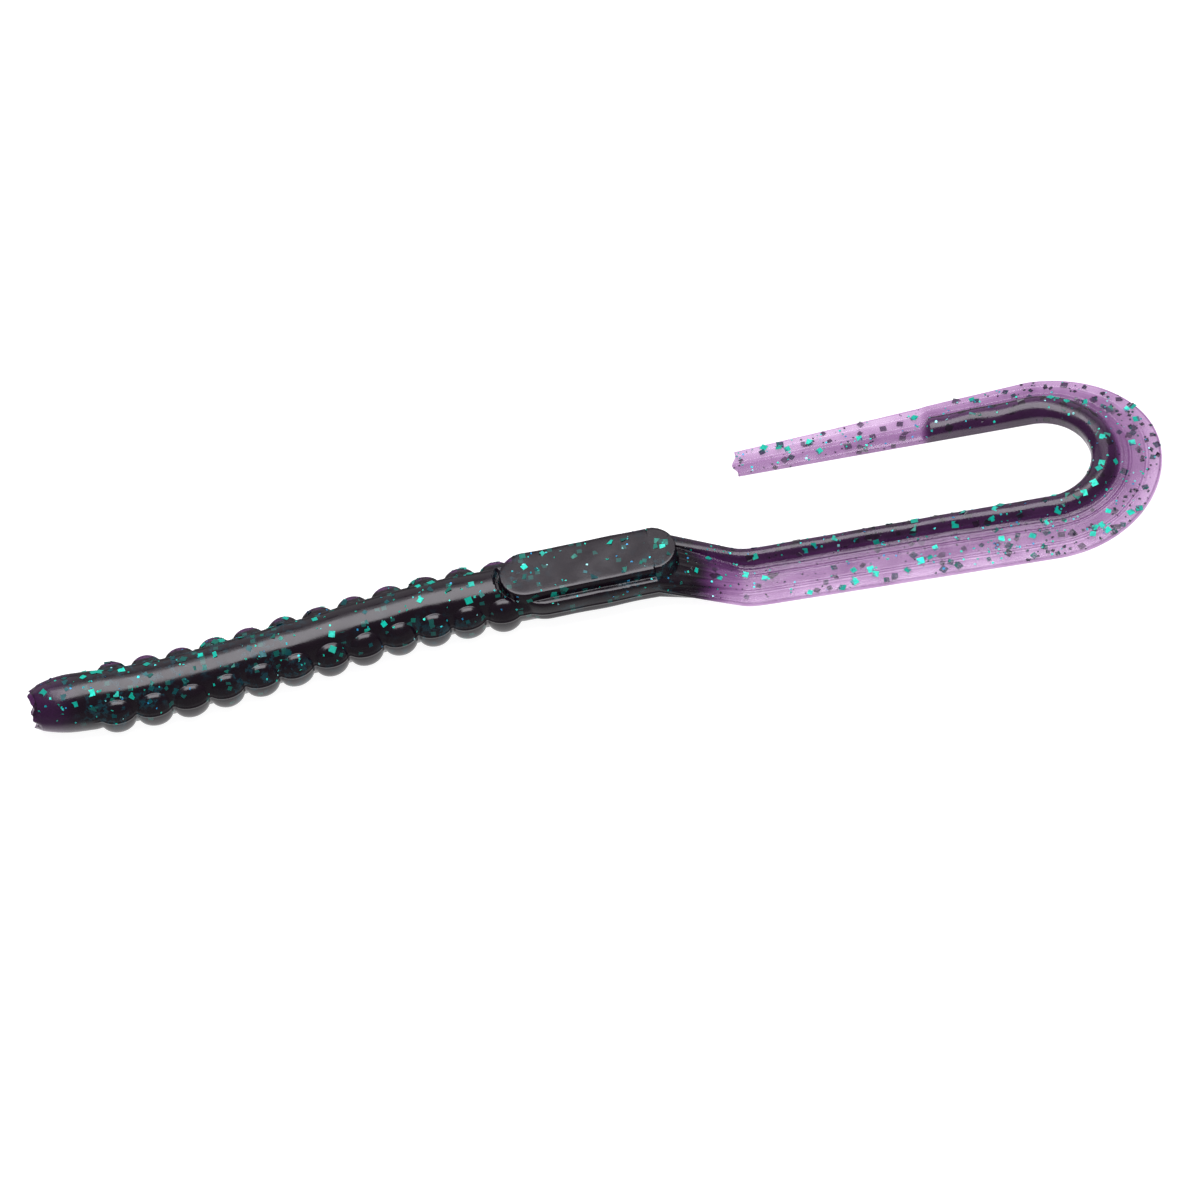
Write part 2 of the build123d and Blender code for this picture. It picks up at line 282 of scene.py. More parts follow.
def core_radius(s, c, top, up):
    """The round bar: tapered to the nose, waisted between the beads, cut flat round the pad."""
    taper = np.sin(np.clip(s / NOSE_TAPER, 0, 1) * math.pi / 2) ** NOSE_FULLNESS
    core = NOSE_FACE_RADIUS + (CORE_RADIUS - NOSE_FACE_RADIUS) * taper
    starting = smooth_step(s, FIRST_BEAD_AT - 3.5, FIRST_BEAD_AT - 1)
    ending = smooth_step(s, LAST_BEAD_AT + 1, LAST_BEAD_AT + 3)
    core = core - WAIST * (starting * (1 - ending)) * smooth_step(c, 0.5, 0.95)
    recess = stadium_half_width(
        s, PAD_START - RECESS_MARGIN, PAST_THE_RAMP, PAD_HALF_WIDTH + RECESS_MARGIN
    )
    cut = (recess > 0) & top & (CORE_RADIUS * c < recess)
    return np.where(cut, smooth_min(core, SHOULDER_TOP / up, RECESS_CORNER), core)


def body_radius(s, angle, with_pad=True):
    """The body's outline at a distance along the axis and an angle round it."""
    c, z = np.abs(np.cos(angle)) + 1e-6, np.sin(angle)
    up = np.where(z > 1e-3, z, 1e-3)
    down = np.where(z < -1e-3, -z, 1e-3)
    top = z > 0
    core = core_radius(s, c, top, up)
    side = stadium_half_width(s, SHOULDER_START, PAST_THE_RAMP, SHOULDER_HALF_WIDTH)
    shoulder_top = smooth_min(side / c, SHOULDER_TOP / up, SHOULDER_TOP_CORNER)
    shoulder_low = smooth_min(side / c, SHOULDER_BOTTOM / down, SHOULDER_LOW_CORNER)
    shoulder = np.where(side > 0, np.where(top, shoulder_top, shoulder_low), 0)
    radius = smooth_max(core, shoulder, SHOULDER_CREASE)
    if with_pad:
        pad_half = stadium_half_width(s, PAD_START, PAD_END, PAD_HALF_WIDTH)
        pad = smooth_min(pad_half / c, PAD_TOP / up, PAD_CORNER)
        pad = np.where(top & (pad_half > 0), pad, 0)
        radius = np.where(pad > 0, smooth_max(radius, pad, PAD_CREASE), radius)
    beads = bead_radius(s, angle)
    radius = np.where(beads > 0, smooth_max(radius, beads, BEAD_CREASE), radius)
    seamed = np.clip((s - SEAM_START) / 2, 0, 1)
    radius = radius + SEAM_HEIGHT * seamed * bell(radius * z / SEAM_HALF_WIDTH)
    return radius + SKIN_UNEVENNESS * waves(3, s, angle, x_scale=7, y_scale=3)


def angles_from(density_at, density, start, end, steps):
    """Angles in degrees from start to end, closer together where the density is higher."""
    fine_angle = np.linspace(start, end, 2000)
    weight = np.interp(fine_angle, density_at, density)
    share = np.r_[0, np.cumsum(weight[1:])]
    return np.interp(np.linspace(0, share[-1], steps + 1), share, fine_angle)


# The points lie closest at the seams and where the pad and the shoulder have their corners
TOP_DENSITY_AT = (0, 6, 12, 28, 34, 50, 56, 124, 130, 146, 152, 168, 174, 180)
TOP_DENSITY = (3, 3, 1, 1, 4, 4, 1, 1, 4, 4, 1, 1, 3, 3)
BOTTOM_DENSITY_AT = (180, 186, 192, 348, 354, 360)
BOTTOM_DENSITY = (3, 3, 1, 1, 3, 3)
top_angles = angles_from(TOP_DENSITY_AT, TOP_DENSITY, 0, 180, TOP_STEPS)
bottom_angles = angles_from(BOTTOM_DENSITY_AT, BOTTOM_DENSITY, 180, 360, BOTTOM_STEPS)


def round_body(top):
    """The given angles over the top and the bottom ones, as one turn in radians."""
    return np.radians(np.r_[top, bottom_angles[1:-1]])


# Distances along the skin, and the rib's width at them

arm_rise = BEND_CENTRE[1] - BEND_INNER_RADIUS - ROOT[1]
arm_length = math.hypot(BEND_CENTRE[0] - ROOT[0], arm_rise)
arm_end = RAMP_END + arm_length
bend_end = arm_end + BEND_INNER_RADIUS * math.pi
return_length = BEND_CENTRE[0] - TIP[0]
RIB_WIDTHS_AT = (RAMP_END, arm_end - 16, arm_end, arm_end + 8, bend_end - 6, bend_end + 17)
RIB_WIDTHS = (2.7, 2.8, 3.4, 4.1, 4.1, 3.5)


def rib_width_at(distance):
    """The rib is wider round the bend."""
    return float(np.interp(distance, RIB_WIDTHS_AT, RIB_WIDTHS))


def arm_at(x):
    """Distance along the skin of a place on the arm."""
    return RAMP_END + (x - ROOT[0]) / (BEND_CENTRE[0] - ROOT[0]) * arm_length


def return_at(x):
    """Distance along the skin of a place on the return arm."""
    return bend_end + BEND_CENTRE[0] - x


# Ribbon section: offsets outwards from the inner edge, heights above the ribbon's underside, and
# how thick the plastic looks, with a painted dark line along the outer edge


def web_height(offset, rib_width, width, web_scale, line_height=WEB_LINE_HEIGHT):
    """The web's height, thinner towards the outer edge, with fine raised lines along it."""
    share = np.clip((offset - rib_width) / (width - rib_width), 0, 1)
    raised = sum(bell((share - at) / WEB_LINE_HALF_WIDTH) for at in WEB_LINES_AT)
    profile = np.interp(share, WEB_PROFILE_AT, np.array(WEB_PROFILE) * web_scale)
    return profile + line_height * raised * web_scale


def ribbon_section(width, rib_width, rib_height, web_scale=1.0):
    """(offset, height, depth) round a ribbon section, starting at the foot of its inner edge."""
    web = (rib_width, width, web_scale)
    foot = web_height(rib_width, *web)
    phi = np.linspace(math.pi, 0, 600)
    peaked = CROWN_POWER + CROWN_SHARPENING * (rib_width - RIB_WIDTHS[0])
    crown_z = foot + (rib_height - foot) * np.sin(phi) ** peaked
    crown = np.stack([rib_width / 2 * (1 + np.cos(phi)), crown_z], 1)
    rib = resampled(np.concatenate([[[0, 0], [-0.02, foot * 0.5]], crown]), RIB_STEPS)
    web_o = np.linspace(rib[-1, 0], width - EDGE_ROUND, WEB_STEPS + 1)[1:]
    flat = np.stack([web_o, smooth_max(web_height(web_o, *web), 0, 0.02)], 1)
    flat[0, 1] = (flat[1, 1] + rib[-1, 1]) / 2
    turn = np.linspace(0, math.pi / 2, EDGE_STEPS + 1)[1:]
    edge = np.stack([width - EDGE_ROUND * (1 - np.sin(turn)), flat[-1, 1] * np.cos(turn)], 1)
    bottom = np.linspace([width, 0], [0, 0], BOTTOM_STEPS + 1)[1:-1]
    offset, height = np.concatenate([rib, flat, edge, bottom]).T
    in_rib = smooth_step(offset, rib_width + RIB_DARK_MARGIN, rib_width - RIB_DARK_MARGIN)
    web_depth = web_height(offset, *web, WEB_LINE_DEPTH)
    depth = (1 - in_rib) * web_depth + in_rib * rib_height * RIB_DEPTH
    # Painted shade: a dark line just inside the outer edge, on the top only, standing in for
    # refraction at the rounded edge
    painted_edge_shade = bell((offset - width + EDGE_SHADE_INSET) / EDGE_SHADE_HALF_WIDTH)
    painted_edge_shade = painted_edge_shade * (np.arange(ROUND) < TOP_STEPS)
    return offset, height, depth + EDGE_SHADE_DEPTH * painted_edge_shade * width / RIBBON_WIDTH


# The whole skin, section by section: its points, how thick it looks, and a distance along it

stations = []


def add_station(points, depth, along_here):
    """Adds one section to the skin."""
    stations.append((np.asarray(points, float), np.asarray(depth, float), along_here))


# Where the points of a ribbon section lie round the body, so that one can turn into the other
ramp_o, ramp_z, _ = ribbon_section(2 * SHOULDER_HALF_WIDTH, RIB_WIDTHS[0], SHOULDER_TOP, 1.25)
matched = np.degrees(np.arctan2(ramp_z, SHOULDER_HALF_WIDTH - ramp_o))[: TOP_STEPS + 1]
matched = np.maximum.accumulate(matched)
matched[0], matched[-1] = 0, 180


def body_depth(s, angle, radius):
    """How thick the body looks round one section: clearer at the nose, the beads and the rim."""
    darkened = smooth_step(s, *NOSE_DARKENS_OVER)
    depth = np.full(ROUND, NOSE_DEPTH * (BODY_DEPTH / NOSE_DEPTH) ** darkened)
    if s < BEADS_END:
        far = smooth_step(np.cos(angle), -0.1, 0.3)
        bead_depth = FAR_BEAD_DEPTH * far + NEAR_BEAD_DEPTH * (1 - far)
        depth += smooth_step(radius, *BEAD_SHOWS_OVER) * np.minimum(bead_depth - depth, 0)
    rim = bell((np.degrees(angle) - FAR_RIM_ANGLE) / FAR_RIM_SPREAD)
    return depth + smooth_step(s, *FAR_RIM_OVER) * rim * (FAR_RIM_DEPTH - depth)


for s in np.concatenate([np.arange(*stretch) for stretch in BODY_STRETCHES]):
    share = smooth_step(s, MATCHING_FROM, RAMP_START - 1)
    angle = round_body(top_angles * (1 - share) + matched * share)
    radius = body_radius(np.full(ROUND, s), angle)
    points = place_on_axis(s, radius * np.cos(angle), radius * np.sin(angle))
    ragged = 0.34 * waves(11, 0, angle, x_scale=40, y_scale=5)
    ragged = ragged + 0.10 * waves(12, 0, angle * 2, x_scale=40, y_scale=9)
    points[:, 0] += np.clip(1 - s / TORN_LENGTH, 0, 1) * np.clip(0.5 + ragged, 0, 1.3)
    add_station(points, body_depth(s, angle, radius), s)

# The nose's torn face, drawn in to its middle
face, face_depth, _ = stations[0]
middle = face.mean(0)
face_angle = round_body(top_angles)
caps = []
for share in FACE_RINGS:
    ring = middle + (face - middle) * share
    hollow = FACE_HOLLOW * (1 - share) ** 0.6
    ring[:, 0] = face[:, 0] * share**3 + (1 - share**3) * middle[0] + hollow
    rough = waves(17, face_angle * 2 + share * 9, face_angle, x_scale=8, y_scale=5)
    ring[:, 0] += FACE_ROUGHNESS * rough * (1 - share**6)
    caps.append((ring, face_depth * FACE_DEPTH_SHARE, BEFORE_THE_NOSE))
stations[:0] = caps[::-1]

# Ramp: the shoulder's section turns into the ribbon, which slopes down to the floor, with the
# pad's end on top of it
root_o, root_z, root_depth = ribbon_section(RIBBON_WIDTH * ROOT_SCALE, RIB_WIDTHS[0], RIB_HEIGHT)
ramp_last = np.stack([np.full(ROUND, ROOT[0]), ROOT[1] - root_o, FLOOR + root_z], 1)
ramp_angle = round_body(matched)
ramp_radius = body_radius(np.full(ROUND, RAMP_START), ramp_angle, with_pad=False)
ramp_first = place_on_axis(
    RAMP_START, ramp_radius * np.cos(ramp_angle), ramp_radius * np.sin(ramp_angle)
)
outwards = root_o / root_o.max()
lines = sum(bell((outwards - at) / RAMP_LINE_HALF_WIDTH) for at in RAMP_LINES_AT)
lines = lines * (np.arange(ROUND) < TOP_STEPS - EDGE_STEPS)
on_top = np.arange(ROUND) <= TOP_STEPS
pad_stations = np.arange(*PAD_END_STRETCH)
ramp_stations = np.linspace(PAD_END_STRETCH[1], RAMP_END, RAMP_STATIONS)[:-1]
for s in np.r_[pad_stations, ramp_stations]:
    t = (s - RAMP_START) / (RAMP_END - RAMP_START)
    points = ramp_first * (1 - t**RAMP_CURVE) + ramp_last * t**RAMP_CURVE
    x, y, heading = axis_at(s)
    lat = (points[:, 1] - y) * math.cos(heading) - (points[:, 0] - x) * math.sin(heading)
    points[:, 2] += RAMP_LINE_HEIGHT * lines * smooth_step(s, *RAMP_LINES_RISE_OVER) * (1 - t)
    inside = stadium_half_width(s, PAD_START, PAD_END, PAD_HALF_WIDTH) - np.abs(lat)
    raised = smooth_step(inside, -0.15, 0.15) * on_top * (s < PAD_END)
    points[:, 2] += raised * (PAD_TOP - PAD_EDGE_DROP * bell(inside / 0.3) - points[:, 2])
    round_end = np.sqrt(np.clip(PAD_HALF_WIDTH**2 - lat**2, 0, None))
    past_pad = s - (PAD_END - PAD_HALF_WIDTH + round_end)
    near = np.clip(0.5 - lat / (2 * SHOULDER_HALF_WIDTH), 0, 1)
    covered = np.clip(1 - past_pad / (DARK_PAST_PAD[0] + DARK_PAST_PAD[1] * near**2), 0, 1) ** 4
    depth = root_depth * (1.3 - 0.3 * t) + RAMP_LINE_DEPTH * lines * (1 - t**2)
    add_station(points, depth + PAD_END_DEPTH * covered, s)

# The arm
for t in np.linspace(0, 1, ARM_STATIONS):
    width = RIBBON_WIDTH * (ROOT_SCALE + (1 - ROOT_SCALE) * t)
    along_here = RAMP_END + arm_length * t
    o, z, depth = ribbon_section(width, rib_width_at(along_here), RIB_HEIGHT)
    x = ROOT[0] + (BEND_CENTRE[0] - ROOT[0]) * t
    inner_y = ROOT[1] + arm_rise * t
    add_station(np.stack([np.full(ROUND, x), inner_y - o, FLOOR + z], 1), depth, along_here)

# The bend: its outer edge is round up to the middle, and an ellipse after it
for turn in np.linspace(-90, 90, BEND_STATIONS)[1:]:
    a = math.radians(turn)
    wide = BEND_INNER_RADIUS + RIBBON_WIDTH
    narrow = BEND_INNER_RADIUS + RIBBON_WIDTH * RETURN_SCALE
    outer = wide
    if turn > 0:
        outer = wide * narrow / math.hypot(narrow * math.cos(a), wide * math.sin(a))
    along_here = arm_end + BEND_INNER_RADIUS * (a + math.pi / 2)
    o, z, depth = ribbon_section(outer - BEND_INNER_RADIUS, rib_width_at(along_here), RIB_HEIGHT)
    reach = BEND_INNER_RADIUS + o
    x, y = BEND_CENTRE[0] + reach * math.cos(a), BEND_CENTRE[1] + reach * math.sin(a)
    add_station(np.stack([x, y, FLOOR + z], 1), depth, along_here)

# The return arm: where the rib ends, a low ridge takes its place
return_start_y = BEND_CENTRE[1] + BEND_INNER_RADIUS
for t in np.linspace(0, 1, RETURN_STATIONS)[1:]:
    width = RIBBON_WIDTH * (RETURN_SCALE + (TIP_SCALE - RETURN_SCALE) * t)
    x = BEND_CENTRE[0] + (TIP[0] - BEND_CENTRE[0]) * t
    past = smooth_step(-x, -RIB_END_X - RIB_END_HALF_LENGTH, -RIB_END_X + RIB_END_HALF_LENGTH)
    ridge = RIDGE_HEIGHT * (1.15 - 0.3 * t)
    height = (RIB_HEIGHT - RIB_LOSS * t) * (1 - past) + ridge * past
    along_here = bend_end + return_length * t
    rib_width = rib_width_at(along_here) * (1 - past) + RIDGE_SHARE * width * past
    o, z, depth = ribbon_section(width, rib_width, height, 1 - 0.35 * past)
    inner_y = return_start_y + (TIP[1] - BEND_CENTRE[1] - BEND_INNER_RADIUS) * t
    add_station(np.stack([np.full(ROUND, x), inner_y + o, FLOOR + z], 1), depth, along_here)

# The tip's blunt, slightly torn end
tip_points, tip_depth, tip_along = stations[-1]
flat = tip_points.copy()
flat[:, 2] = FLOOR + TIP_EDGE_HEIGHT
for share in TIP_RINGS:
    ring = tip_points * (1 - share) + flat * share
    ring[:, 0] -= TIP_ROUND * math.sin(share * math.pi / 2)
    ring[:, 0] -= TIP_TEAR * waves(5, ring[:, 1], 0, x_scale=2.3, y_scale=1)
    add_station(ring, tip_depth, tip_along + 0.3 * share)

skin = np.stack([points for points, _, _ in stations])
skin[:, :, 2] = np.maximum(skin[:, :, 2], FLOOR + CLEARANCE)
thickness = np.stack([depth for _, depth, _ in stations])
along = np.array([distance for _, _, distance in stations])

# The ribbon's top is a little uneven
rising = np.clip((skin[:, :, 2] - FLOOR) / RIB_HEIGHT, 0, 1) * (along[:, None] > RAMP_END)
ARM_UNEVENNESS = 0.06
RETURN_EXTRA_UNEVENNESS = 0.05
on_return = smooth_step(along, bend_end - 12, bend_end)
uneven = ARM_UNEVENNESS + RETURN_EXTRA_UNEVENNESS * on_return
around = np.arange(ROUND)[None] * 0.05
ripples = waves(21, along[:, None], around, x_scale=7, y_scale=2)
skin[:, :, 2] += uneven[:, None] * rising * ripples

# The fold at the foot of the ramp is rounded
FOLD_HALF_LENGTH = 3.5
FOLD_ROUNDS = 40
fold = (along > RAMP_END - FOLD_HALF_LENGTH) & (along < RAMP_END + FOLD_HALF_LENGTH)
for _ in range(FOLD_ROUNDS):
    skin[fold] = (np.roll(skin, 1, axis=0) / 4 + skin / 2 + np.roll(skin, -1, axis=0) / 4)[fold]


def skin_normals(points):
    """A unit normal at each point of the skin."""
    down = np.gradient(points, axis=0)
    across = np.roll(points, -1, axis=1) - np.roll(points, 1, axis=1)
    normal = np.cross(across, down)
    length = np.linalg.norm(normal, axis=2, keepdims=True)
    return normal / np.maximum(length, 1e-9)


normals = skin_normals(skin)
centre = skin.mean(1, keepdims=True)
inside_out = ((skin - centre) * normals).sum(2).mean() < 0
if inside_out:
    normals = -normals


# Node helpers


def new_material(name):
    """An empty node material, its node tree and its output node."""
    material = bpy.data.materials.new(name)
    material.use_nodes = True
    tree = material.node_tree
    tree.nodes.clear()
    return material, tree, tree.nodes.new("ShaderNodeOutputMaterial")


def fill_socket(tree, socket, value):
    """Links the socket if the value is another node's output, and sets it if not."""
    if isinstance(value, bpy.types.NodeSocket):
        tree.links.new(value, socket)
    else:
        socket.default_value = value


def add_node(tree, kind, settings=None, **inputs):
    """A node with its properties set and its inputs filled, by name or as i0, i1 and so on."""
    node = tree.nodes.new(kind)
    for key, value in (settings or {}).items():
        setattr(node, key, value)
    for key, value in inputs.items():
        by_number = key[0] == "i" and key[1:].isdigit()
        socket = node.inputs[int(key[1:])] if by_number else node.inputs[key.replace("_", " ")]
        fill_socket(tree, socket, value)
    return node


def maths(tree, operation, a, b=0.0):
    """The result of one arithmetic node."""
    return add_node(tree, "ShaderNodeMath", {"operation": operation}, i0=a, i1=b).outputs[0]


def mapped(tree, value, low, high, to_low=0.0, to_high=1.0):
    """The value's place between low and high, eased into the new range."""
    settings = {"interpolation_type": "SMOOTHSTEP"}
    return add_node(
        tree,
        "ShaderNodeMapRange",
        settings,
        Value=value,
        From_Min=low,
        From_Max=high,
        To_Min=to_low,
        To_Max=to_high,
    ).outputs[0]


def mixed_colour(tree, share, a, b):
    """Colour a turning into colour b as the share grows."""
    node = add_node(tree, "ShaderNodeMix", {"data_type": "RGBA"}, i0=share, i6=a, i7=b)
    return node.outputs[2]


def noise(tree, where, scale, **inputs):
    """A noise pattern's value, from 0 to 1."""
    node = add_node(tree, "ShaderNodeTexNoise", Vector=where, Scale=scale, **inputs)
    return node.outputs["Fac"]


# How much light a millimetre of the plastic takes out, for red, green and blue
ABSORPTION = (1.75, 2.5, 1.65)
THIN_COLOUR = (0.03, 0.009, 0.034, 1)
THICK_COLOUR = (0.0055, 0.0018, 0.0055, 1)
HAZE_COLOUR = (0.003, 0.03, 0.042, 1)
SPECK_COLOUR = (0.004, 0.075, 0.065, 1)
SPECKLESS_SHARE = 0.9  # of the pattern's cells
SPECK_RADIUS = 0.33


def clear_tint(tree, where, thick):
    """A transparent shader whose colour follows the thickness."""
    cloud = noise(tree, where, 220.0, Detail=3.0)
    depth = maths(tree, "MULTIPLY", thick, mapped(tree, cloud, 0.25, 0.75, 0.86, 1.14))
    red, green, blue = (
        maths(tree, "EXPONENT", maths(tree, "MULTIPLY", depth, -0.5 * rate)) for rate in ABSORPTION
    )
    tint = add_node(tree, "ShaderNodeCombineColor", i0=red, i1=green, i2=blue).outputs[0]
    return add_node(tree, "ShaderNodeBsdfTransparent", Color=tint).outputs[0]


def milky_colour(tree, where, thick):
    """What the plastic itself scatters back: nearly black, with teal haze and fine specks."""
    specks = add_node(
        tree,
        "ShaderNodeTexVoronoi",
        {"distance": "CHEBYCHEV"},
        Vector=where,
        Scale=900.0,
        Randomness=1.0,
    )
    pick = add_node(tree, "ShaderNodeSeparateColor", Color=specks.outputs["Color"]).outputs[0]
    picked = maths(tree, "GREATER_THAN", pick, SPECKLESS_SHARE)
    close = maths(tree, "LESS_THAN", specks.outputs["Distance"], SPECK_RADIUS)
    deep = mapped(tree, thick, 2.0, 6.0)
    speck_share = maths(
        tree, "MULTIPLY", maths(tree, "MULTIPLY", picked, close), maths(tree, "MULTIPLY", deep, 0.8)
    )
    mottle = mapped(tree, noise(tree, where, 700.0, Detail=4.0, Roughness=0.7), 0.5, 0.62)
    patches = mapped(tree, noise(tree, where, 90.0, Detail=1.0), 0.42, 0.62)
    haze = maths(tree, "MULTIPLY", maths(tree, "MULTIPLY", mottle, patches), deep)
    base = mixed_colour(tree, mapped(tree, thick, 0.5, 3.0), THIN_COLOUR, THICK_COLOUR)
    base = mixed_colour(tree, haze, base, HAZE_COLOUR)
    return mixed_colour(tree, speck_share, base, SPECK_COLOUR)


def plastic_material(name):
    """Clear purple plastic whose depth of colour follows the local thickness."""
    material, tree, output = new_material(name)
    where = add_node(tree, "ShaderNodeTexCoord").outputs["Object"]
    thick = add_node(tree, "ShaderNodeAttribute", {"attribute_name": "thick"}).outputs["Fac"]
    grain = noise(tree, where, 2600.0, Detail=2.0)
    swell = noise(tree, where, 420.0, Detail=2.0)
    height = maths(tree, "ADD", maths(tree, "MULTIPLY", grain, 0.25), swell)
    bump = add_node(tree, "ShaderNodeBump", Strength=0.35, Distance=0.00006, Height=height)
    gloss = add_node(
        tree,
        "ShaderNodeBsdfPrincipled",
        Base_Color=milky_colour(tree, where, thick),
        Roughness=mapped(tree, swell, 0.3, 0.7, 0.16, 0.27),
        Normal=bump.outputs[0],
        IOR=1.54,
    )
    clear = clear_tint(tree, where, thick)
    both = add_node(tree, "ShaderNodeAddShader", i0=clear, i1=gloss.outputs[0]).outputs[0]
    tree.links.new(both, output.inputs["Surface"])
    return material


def glitter_material(name):
    """Thin coloured metal film, each flake with its own colour, scratched a little."""
    material, tree, output = new_material(name)
    where = add_node(tree, "ShaderNodeTexCoord").outputs["Object"]
    attribute = add_node(tree, "ShaderNodeAttribute", {"attribute_name": "flake_colour"})
    grain = noise(tree, where, 3000.0, Detail=2.0)
    scratched = mapped(tree, grain, 0.35, 0.75, 0.0, 0.35)
    bump = add_node(tree, "ShaderNodeBump", Strength=0.2, Distance=0.00003, Height=grain)
    film = add_node(
        tree,
        "ShaderNodeBsdfPrincipled",
        Base_Color=mixed_colour(tree, scratched, attribute.outputs["Color"], (0.0, 0.05, 0.05, 1)),
        Metallic=0.35,
        Roughness=mapped(tree, grain, 0.3, 0.7, 0.3, 0.5),
        Normal=bump.outputs[0],
    )
    tree.links.new(film.outputs[0], output.inputs["Surface"])
    return material


plastic = plastic_material("soft_plastic")
glitter = glitter_material("glitter_film")


# Pieces: the skin's stretches and the flakes in them


def add_object(name, mesh):
    """A new object for the mesh, linked to the scene."""
    added = bpy.data.objects.new(name, mesh)
    bpy.context.scene.collection.objects.link(added)
    return added


def skin_piece(name, start, end):
    """The stretch of the skin between two distances along it, as a mesh object."""
    rows = np.flatnonzero((along > start) & (along <= end))
    first, stop = rows[0], min(rows[-1] + 2, len(along))  # one row is shared with the next piece
    points = skin[first:stop].reshape(-1, 3) * MM
    ring = np.arange(ROUND)
    following = (ring + 1) % ROUND
    row = np.arange(stop - first - 1)[:, None] * ROUND
    corners = [row + ring, row + following, row + ROUND + following, row + ROUND + ring]
    quads = np.stack(corners, 2).reshape(-1, 4)
    if inside_out:
        quads = quads[:, ::-1]
    mesh = bpy.data.meshes.new(name)
    mesh.from_pydata(points.tolist(), [], quads.tolist())
    mesh.update()
    values = mesh.attributes.new("thick", "FLOAT", "POINT")
    values.data.foreach_set("value", thickness[first:stop].astype(np.float32).ravel())
    mesh.polygons.foreach_set("use_smooth", np.ones(len(quads), bool))
    mesh.normals_split_custom_set_from_vertices(normals[first:stop].reshape(-1, 3).tolist())
    mesh.materials.append(plastic)
    return add_object(name, mesh)


def axis_point(s):
    """A point on the body's axis, in metres."""
    x, y, _ = axis_at(s)
    return (float(x) * MM, float(y) * MM, 0.0)


def ribbon_point(x, y):
    """A point on the floor under the ribbon, in metres."""
    return (x * MM, y * MM, FLOOR * MM)


ARM_Y = 7.5
RETURN_Y = 28.2
MIDDLE_START = 49.8
REAR_START = 86
ARM_START = arm_at(122)
BEND_START = arm_at(145)
TIP_START = return_at(136.5)
PIECES = [
    # name, from, to, body before, body after, blend start, blend end, material slot, CAD nodes
    (
        "front_skin", -2, MIDDLE_START, "front_body", "middle_body",
        axis_point(31), axis_point(47), "body_plastic",
        ("nose", "front_core", "front_left_beads", "front_right_beads"),
    ),
    (
        "middle_skin", MIDDLE_START, REAR_START, "middle_body", "rear_body",
        axis_point(52.5), axis_point(68.5), "body_plastic",
        ("middle_core", "middle_left_beads", "middle_right_beads",
         "rear_core", "rear_left_beads", "rear_right_beads"),
    ),
    (
        "rear_skin", REAR_START, ARM_START, "rear_body", "arm_front",
        ribbon_point(109.3, ARM_Y), ribbon_point(117.3, ARM_Y), "rib_plastic",
        ("label_pad", "pad_shoulder", "tail_ramp", "tail_root_rib", "tail_root_web"),
    ),
    (
        "arm_skin", ARM_START, BEND_START, "arm_front", "arm_rear",
        ribbon_point(127, ARM_Y), ribbon_point(137, ARM_Y), "web_plastic",
        ("arm_front_rib", "arm_front_web"),
    ),
    (
        "bend_skin", BEND_START, bend_end, "arm_rear", "bend_far",
        ribbon_point(167.6, 12.9), ribbon_point(167.6, 28.1), "web_plastic",
        ("arm_rear_rib", "arm_rear_web"),
    ),
    (
        "return_skin", bend_end, TIP_START, "bend_far", "return_arm",
        ribbon_point(150, RETURN_Y), ribbon_point(142, RETURN_Y), "web_plastic",
        ("bend_far_rib", "bend_far_web"),
    ),
    (
        "tip_skin", TIP_START, 1e3, "return_arm", "tip",
        ribbon_point(131, RETURN_Y), ribbon_point(123, RETURN_Y), "web_plastic",
        ("return_arm_rib", "return_arm_web", "tip_web"),
    ),
]
FLAKE_NODES = {
    "front_skin": ("front_glitter",),
    "middle_skin": ("middle_glitter", "rear_glitter"),
    "rear_skin": ("pad_glitter",),
    "arm_skin": ("arm_front_glitter",),
    "bend_skin": ("arm_rear_glitter",),
    "return_skin": ("bend_far_glitter",),
    "tip_skin": ("return_arm_glitter", "tip_glitter"),
}


# Glitter, and grey flakes painted as the shadows it casts on the floor

TURQUOISE = [(0.0, 0.50, 0.36), (0.0, 0.58, 0.43), (0.0, 0.42, 0.32)]
DIM_TEAL = [(0.0, 0.10, 0.085), (0.0, 0.15, 0.11), (0.0, 0.07, 0.08)]
SPARKLE = [
    (0.03, 0.6, 0.55), (0.25, 0.65, 0.65), (0.02, 0.3, 0.6), (0.0, 0.5, 0.36), (0.0, 0.45, 0.5)
]
